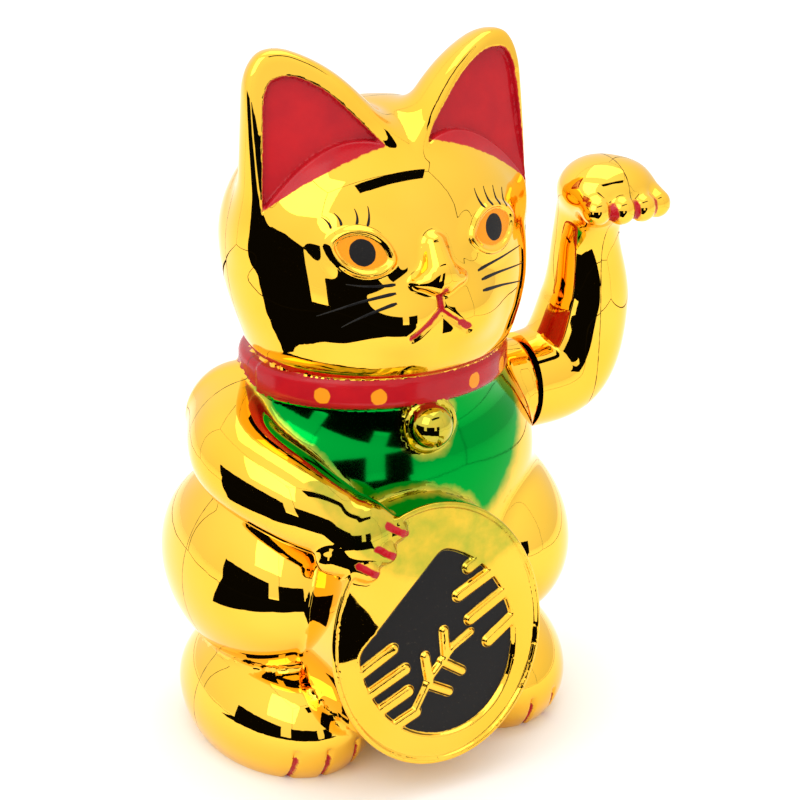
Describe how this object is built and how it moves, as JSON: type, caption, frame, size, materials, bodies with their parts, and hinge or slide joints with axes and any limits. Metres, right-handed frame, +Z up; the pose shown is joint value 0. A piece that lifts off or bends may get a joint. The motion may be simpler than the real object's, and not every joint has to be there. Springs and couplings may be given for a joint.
{
  "type": "beckoning cat figurine",
  "caption": "Seated cat figurine of plated plastic shells, with a collar, bell and oval coin, whose raised arm rocks on a hidden pendulum.",
  "frame": {"origin": "on the surface the cat stands on, below the arm's shaft and in the cat's middle plane", "axes": "+Z up; the cat faces -Y; its raised left arm is on the +X side"},
  "size_m": [0.1064, 0.0794, 0.1498],
  "materials": {
    "gold_plating": "gloss",
    "black_plastic": "satin",
    "cream_plastic": "satin",
    "cell_jacket": "gloss",
    "steel": "satin",
    "nickel": "polished",
    "board_laminate": "satin",
    "copper_winding": "gloss",
    "component_black": "satin",
    "capacitor_sleeve": "gloss",
    "resistor_body": "gloss",
    "red_insulation": "satin",
    "black_insulation": "satin"
  },
  "bodies": {
    "cat": {"front_shell": "gold_plating", "back_shell": "gold_plating", "base_plate": "black_plastic", "battery_cell": "cell_jacket", "negative_spring": "nickel", "positive_contact": "nickel", "circuit_board": "board_laminate", "transistor": "component_black", "capacitor": "capacitor_sleeve", "resistor": "resistor_body", "switch_body": "component_black", "pivot_frame": "cream_plastic", "coil_bobbin": "cream_plastic", "coil_winding": "copper_winding", "coil_core": "steel", "coil_leads": "copper_winding", "base_screws": "steel", "frame_screws": "steel", "board_screws": "steel", "black_wire": "black_insulation", "red_wire": "red_insulation"},
    "raised_arm": {"arm_inner_half": "gold_plating", "arm_outer_half": "gold_plating", "arm_shaft": "steel", "shaft_clips": "steel", "arm_screw": "steel", "pendulum_lever": "cream_plastic", "magnet": "nickel", "counterweight": "steel"},
    "door": {"battery_door": "black_plastic"},
    "switch": {"switch_slider": "black_plastic"}
  },
  "joints": [
    {"name": "arm_wave", "type": "hinge", "parent": "cat", "child": "raised_arm", "pos_m": [0, 0, 0.07], "axis": [1, 0, 0], "range_deg": [-16, 16]},
    {"name": "battery_door", "type": "hinge", "parent": "cat", "child": "door", "pos_m": [-0.0287, 0.014, 0.0011], "axis": [0, 1, 0], "range_deg": [0, 75]},
    {"name": "switch_slide", "type": "slide", "parent": "cat", "child": "switch", "axis": [1, 0, 0], "range_m": [0, 0.003]}
  ]
}
